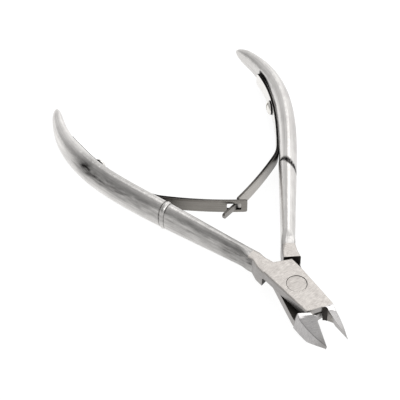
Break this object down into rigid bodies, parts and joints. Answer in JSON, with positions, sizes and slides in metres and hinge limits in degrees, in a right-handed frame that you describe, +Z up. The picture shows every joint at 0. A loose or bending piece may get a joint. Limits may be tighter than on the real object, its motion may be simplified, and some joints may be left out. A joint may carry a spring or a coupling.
{
  "type": "cuticle nipper",
  "caption": "Cuticle nipper with a riveted lap joint, short pointed cutting jaws, slim bowed handles and interlocking leaf springs that hold it open.",
  "frame": {"origin": "on the pivot axis, at the flat underside of the lap joint", "axes": "+Z up along the pivot axis, +Y toward the handle tips, +X toward the upper lever's jaw"},
  "size_m": [0.0602, 0.0962, 0.0082],
  "materials": {
    "lever_steel": "forged stainless steel, satin polished handles and ground flat joint",
    "rivet_steel": "stainless steel, ground flush with the joint",
    "spring_steel": "rolled spring steel strip, brushed",
    "screw_steel": "turned steel with a driver slot"
  },
  "bodies": {
    "lower_half": {"lower_lever": "lever_steel", "pivot_rivet": "rivet_steel", "tongued_leaf_seat": "spring_steel", "tongued_leaf_screw": "screw_steel"},
    "upper_half": {"upper_lever": "lever_steel", "slotted_leaf_seat": "spring_steel", "slotted_leaf_screw": "screw_steel"},
    "slotted_spring_end": {"slotted_leaf_end": "spring_steel"},
    "tongued_spring_end": {"tongued_leaf_end": "spring_steel"}
  },
  "joints": [
    {"name": "jaw_pivot", "type": "hinge", "parent": "lower_half", "child": "upper_half", "pos_m": [0, 0, 0.0024], "axis": [0, 0, -1], "range_deg": [-3, 17], "stiffness_Nm_per_rad": 2.2},
    {"name": "slotted_leaf_flex", "type": "hinge", "parent": "upper_half", "child": "slotted_spring_end", "pos_m": [-0.01679, 0.0402, 0.0018], "axis": [0, 0, -1], "range_deg": [-3.1, 17]},
    {"name": "tongued_leaf_flex", "type": "hinge", "parent": "lower_half", "child": "tongued_spring_end", "pos_m": [0.01679, 0.0402, 0.0018], "axis": [0, 0, 1], "range_deg": [-3.1, 17]}
  ],
  "couplings": [
    {"joint": "slotted_leaf_flex", "follows": "jaw_pivot", "ratio": 0.99},
    {"joint": "tongued_leaf_flex", "follows": "jaw_pivot", "ratio": 0.99}
  ]
}
